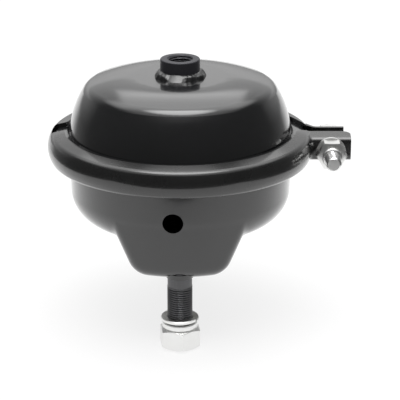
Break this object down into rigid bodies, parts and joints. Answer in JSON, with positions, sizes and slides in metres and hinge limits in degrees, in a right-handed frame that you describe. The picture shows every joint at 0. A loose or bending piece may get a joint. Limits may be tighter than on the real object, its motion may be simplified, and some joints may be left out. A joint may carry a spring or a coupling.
{
  "type": "air brake chamber",
  "caption": "Round pressed-steel brake chamber: a domed air cover clamped to a lower housing by a bolted V band, mounting studs below, and a sprung push rod inside.",
  "frame": {"origin": "centre of the mounting face, midway between the studs", "axes": "+Z from the mounting face towards the pressure cover and its inlet; +Y along the line of the studs; +X towards the clamp bolt"},
  "size_m": [0.196, 0.172, 0.1739],
  "materials": {
    "cover_paint": "black semi-gloss paint",
    "boss_paint": "black semi-gloss paint",
    "bowl_paint": "black satin paint",
    "clamp_paint": "black satin paint",
    "stud_steel": "black phosphate, oiled",
    "zinc_steel": "bright zinc plate",
    "rubber": "matt black",
    "rod_steel": "plain machined steel",
    "spring_steel": "dark coated wire"
  },
  "bodies": {
    "chamber": {"pressure_cover": "cover_paint", "inlet_boss": "boss_paint", "inlet_weld": "boss_paint", "housing_bowl": "bowl_paint", "stiffener_plate": "bowl_paint", "clamp_band": "clamp_paint", "stud_front": "stud_steel", "stud_rear": "stud_steel", "stud_nut_front": "zinc_steel", "stud_nut_rear": "zinc_steel", "clamp_bolt": "zinc_steel", "clamp_nut": "zinc_steel", "clamp_washer": "zinc_steel", "collar_washer_front": "zinc_steel", "collar_washer_rear": "zinc_steel", "spring_washer_front": "zinc_steel", "spring_washer_rear": "zinc_steel", "diaphragm": "rubber", "gaiter": "rubber", "gaiter_ring": "rod_steel", "return_spring": "spring_steel"},
    "push_rod_set": {"push_plate": "rod_steel", "push_rod": "rod_steel"}
  },
  "joints": [
    {"name": "rod_stroke", "type": "slide", "parent": "chamber", "child": "push_rod_set", "axis": [0, 0, -1], "range_m": [0, 0.057], "stiffness_N_per_m": 1500, "springref_m": -0.05, "deforming": ["return_spring", "gaiter", "diaphragm"]}
  ]
}
